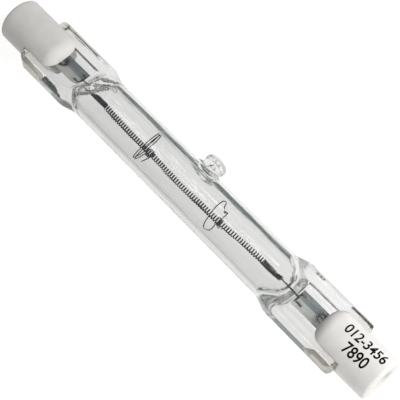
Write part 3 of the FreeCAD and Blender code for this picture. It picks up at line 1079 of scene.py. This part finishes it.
def table():
    """A large white table that keeps the lamp's shadow. Rays that went through glass pass on into the
    white below it: painted light brightens it along the lamp, painted shade darkens the near side a little."""
    half = table_half_width
    corners = [(-half, -half, 0), (half, -half, 0), (half, half, 0), (-half, half, 0)]
    obj = new_object("table", corners, [(0, 1, 2, 3)])
    material = bpy.data.materials.new("white_table")
    material.use_nodes = True
    tree = material.node_tree
    tree.nodes.clear()
    # The light that the table throws back on the lamp is a little greyer than what the camera sees
    rays = add_node(tree, "ShaderNodeLightPath").outputs
    tint = mixed(tree, rays["Is Camera Ray"], colour("#DCDBD9"), colour("#F4F4F4"))
    paper = add_node(tree, "ShaderNodeBsdfDiffuse", {"Color": tint})
    seen = reckoned(tree, "MAXIMUM", rays["Is Camera Ray"], rays["Is Glossy Ray"])
    glow = add_node(tree, "ShaderNodeEmission", {
        "Color": (1, 1, 1, 1), "Strength": reckoned(tree, "MULTIPLY", seen, table_glow)})
    lit = add_node(tree, "ShaderNodeAddShader", {0: paper.outputs[0], 1: glow.outputs[0]})
    place = add_node(tree, "ShaderNodeTexCoord").outputs["Object"]
    along = add_node(tree, "ShaderNodeSeparateXYZ", {"Vector": place})
    # Painted light and shade: what the glass shows of the table grows lighter along the lamp and darker on
    # the near side
    ramp = ranged(tree, along.outputs["X"], painted_light_from)
    painted_light_tone = mixed(tree, ramp, colour("#E9E8E8"), colour("#FBFBFA"))
    painted_near_shade = ranged(tree, along.outputs["Y"], painted_shade_from, painted_shade_level)
    painted_shading = add_node(tree, "ShaderNodeVectorMath", {0: painted_light_tone, "Scale": painted_near_shade}, operation="SCALE")
    clear = add_node(tree, "ShaderNodeBsdfTransparent", {"Color": painted_shading.outputs[0]})
    through_glass = add_node(tree, "ShaderNodeMixShader", {
        0: rays["Is Transmission Ray"], 1: lit.outputs[0], 2: clear.outputs[0]})
    add_node(tree, "ShaderNodeOutputMaterial", {"Surface": through_glass.outputs[0]})
    obj.data.materials.append(material)
    obj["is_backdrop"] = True


def surroundings():
    """White to the camera; glass and metal see white above and below, a dim room round about, a
    darker one on the tip's side, and a bright window that only shows mirrored in their skin."""
    world = bpy.data.worlds.new("studio")
    bpy.context.scene.world = world
    world.use_nodes = True
    tree = world.node_tree
    tree.nodes.clear()
    direction = add_node(tree, "ShaderNodeTexCoord").outputs["Generated"]
    parts = add_node(tree, "ShaderNodeSeparateXYZ", {"Vector": direction})
    level = ranged(tree, reckoned(tree, "ABSOLUTE", parts.outputs["Z"]), white_from)
    tip_side = ranged(tree, parts.outputs["Y"], tip_side_from)
    open_room = mixed(tree, level, colour("#D4D5D4"), colour("#FFFFFF"))
    shown = mixed(tree, tip_side, open_room, colour("#4A5753"))
    rays = add_node(tree, "ShaderNodeLightPath").outputs
    through_glass = reckoned(tree, "MAXIMUM", rays["Is Transmission Ray"], rays["Is Glossy Ray"])
    ambient = add_node(tree, "ShaderNodeBackground", {"Color": colour("#F8F6F4"), "Strength": ambient_level})
    towards = add_node(tree, "ShaderNodeVectorMath", {
        0: direction, 1: Vector(window_direction).normalized()}, operation="DOT_PRODUCT")
    window = ranged(tree, towards.outputs["Value"], window_from)
    # Refracted rays count as glossy too, so a mirrored ray is one that is glossy but not refracted
    thrown_back = reckoned(tree, "SUBTRACT", rays["Is Glossy Ray"], rays["Is Transmission Ray"])
    mirrored_ray = add_node(tree, "ShaderNodeClamp", {"Value": thrown_back}).outputs[0]
    # Broken like light through blinds: the flame-worked glass shows it as short pale strokes
    blinds = add_node(tree, "ShaderNodeMapping", {"Vector": direction, "Scale": stroke_scale})
    slats = add_node(tree, "ShaderNodeTexNoise", {"Vector": blinds.outputs[0], "Scale": 1.0, "Detail": 2.0})
    broken = reckoned(tree, "MULTIPLY", window, ranged(tree, slats.outputs["Fac"], stroke_from))
    in_skin = reckoned(tree, "MULTIPLY", broken, mirrored_ray)
    # The outer skin and the metal mirror a dimmer room, so the filament reads dark through the glass
    dimmed = ranged(tree, mirrored_ray, (0.0, 1.0), 1.0, mirrored_level)
    strength = ranged(tree, in_skin, (0.0, 1.0), dimmed, window_level)
    mirrored_room = add_node(tree, "ShaderNodeBackground", {
        "Color": mixed(tree, in_skin, shown, (1, 1, 1, 1)), "Strength": strength})
    white = add_node(tree, "ShaderNodeBackground", {"Color": (1, 1, 1, 1), "Strength": 1.0})
    lit = add_node(tree, "ShaderNodeMixShader", {
        0: through_glass, 1: ambient.outputs[0], 2: mirrored_room.outputs[0]})
    seen = add_node(tree, "ShaderNodeMixShader", {
        0: rays["Is Camera Ray"], 1: lit.outputs[0], 2: white.outputs[0]})
    add_node(tree, "ShaderNodeOutputWorld", {"Surface": seen.outputs[0]})


def soft_light(name, place, target, width, power):
    """A square soft box; the glass and the metal don't show it, so it leaves no hard glint."""
    light = bpy.data.lights.new(name, "AREA")
    light.shape = "SQUARE"
    light.size = width
    light.energy = power
    obj = bpy.data.objects.new(name, light)
    bpy.context.scene.collection.objects.link(obj)
    aim = Vector(target) - Vector(place)
    obj.matrix_world = Matrix.Translation(place) @ aim.to_track_quat("-Z", "Y").to_matrix().to_4x4()
    obj.visible_glossy = False
    obj.visible_transmission = False


def camera():
    """Above the lamp, nearer its right end, with the lamp lying across the picture's diagonal."""
    reach_along = 0.0665
    height = 0.1894
    lean = math.radians(6.5)
    aim_along = 0.00241
    aim_aside = -0.00007
    aim = Vector((aim_along, axis_place.y + aim_aside, axis_place.z))
    turn = math.radians(44.63)
    place = Vector((reach_along, axis_place.y + height * math.sin(lean),
                    axis_place.z + height * math.cos(lean)))
    forward = (aim - place).normalized()
    upward = Vector((-math.cos(turn), math.sin(turn), 0))
    sideways = forward.cross(upward).normalized()
    upward = sideways.cross(forward)
    axes = Matrix((sideways, upward, -forward)).transposed().to_4x4()
    data = bpy.data.cameras.new("camera")
    data.sensor_width = 36
    focal_pixels = 1389.0
    picture_pixels = 400
    data.lens = focal_pixels * data.sensor_width / picture_pixels
    data.clip_start = 0.01
    obj = bpy.data.objects.new("camera", data)
    bpy.context.scene.collection.objects.link(obj)
    obj.matrix_world = Matrix.Translation(place) @ axes
    bpy.context.scene.camera = obj


table()
surroundings()
soft_light("key", key_place, key_target, key_width, key_power)
soft_light("fill", fill_place, fill_target, fill_width, fill_power)
camera()

scene = bpy.context.scene
scene.view_settings.view_transform = "Standard"
scene.cycles.max_bounces = 40
scene.cycles.glossy_bounces = 40
scene.cycles.transmission_bounces = 24
scene.cycles.transparent_max_bounces = 24

size["dressed"] = [list(corner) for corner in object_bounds()]
